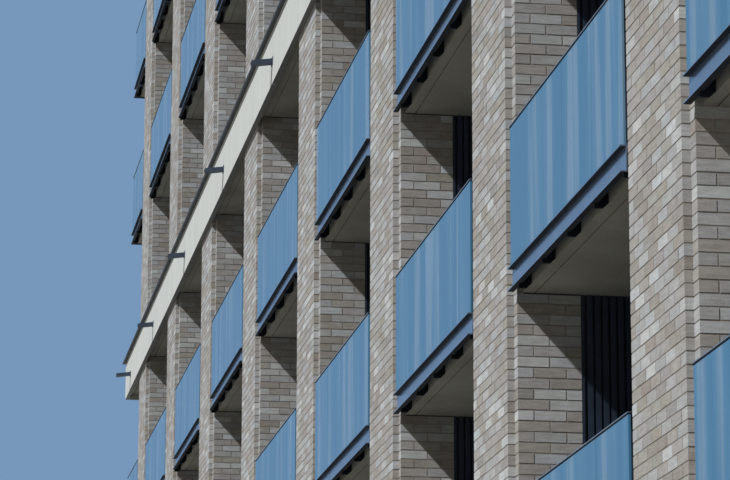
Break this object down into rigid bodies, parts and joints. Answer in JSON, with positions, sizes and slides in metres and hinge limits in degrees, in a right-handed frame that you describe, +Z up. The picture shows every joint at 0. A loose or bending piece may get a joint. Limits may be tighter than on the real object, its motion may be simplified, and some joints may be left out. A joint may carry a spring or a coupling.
{
  "type": "apartment block",
  "caption": "Brick apartment block with stepped piers, recessed and corner glass-guarded balconies, ribbed cladding, a pale storey band with spouts and a flat parapet roof.",
  "frame": {"origin": "ground level, midway between the outer pier faces front and rear and between the gables", "axes": "+X along the balcony front, which faces -Y, and +Z up"},
  "size_m": [39.42, 13.0116, 23.31],
  "materials": {
    "brick": "wire-cut facing brick with recessed grey mortar",
    "concrete": "smooth cast concrete",
    "inner_wall": "plastered inner wall",
    "cladding": "dark coated ribbed sheet",
    "frame": "dark coated aluminium frame",
    "pane": "double glazing",
    "guard_glass": "blue tinted laminated glass",
    "navy_steel": "dark blue coated steel",
    "band": "off-white cast panel",
    "coping": "dark folded metal"
  },
  "bodies": {
    "root": {"ground_slab": "concrete", "roof_slab": "concrete", "corner_balcony_slabs": "concrete", "floor_slab_1": "concrete", "floor_slab_2": "concrete", "floor_slab_3": "concrete", "floor_slab_4": "concrete", "floor_slab_5": "concrete", "floor_slab_6": "concrete", "floor_slab_7": "concrete", "front_pier_1": "brick", "front_pier_2": "brick", "front_pier_3": "brick", "front_pier_4": "brick", "front_pier_5": "brick", "front_pier_6": "brick", "front_pier_7": "brick", "front_pier_8": "brick", "west_gable_brickwork": "brick", "east_gable_brickwork": "brick", "rear_brickwork": "brick", "parapet_walls": "brick", "parapet_backing": "brick", "west_gable_wall": "inner_wall", "east_gable_wall": "inner_wall", "rear_wall": "inner_wall", "west_recess_walls": "inner_wall", "east_recess_walls": "inner_wall", "ribbed_cladding": "cladding", "balcony_screens": "frame", "gable_frames": "frame", "rear_frames": "frame", "entrance_doors": "frame", "balcony_screen_glass": "pane", "gable_glass": "pane", "rear_glass": "pane", "guard_glass": "guard_glass", "balcony_channels": "navy_steel", "guard_rails": "navy_steel", "terrace_guard_shoes": "navy_steel", "storey_band": "band", "band_coping": "coping", "parapet_coping": "coping", "rain_spouts": "coping"}
  },
  "joints": []
}
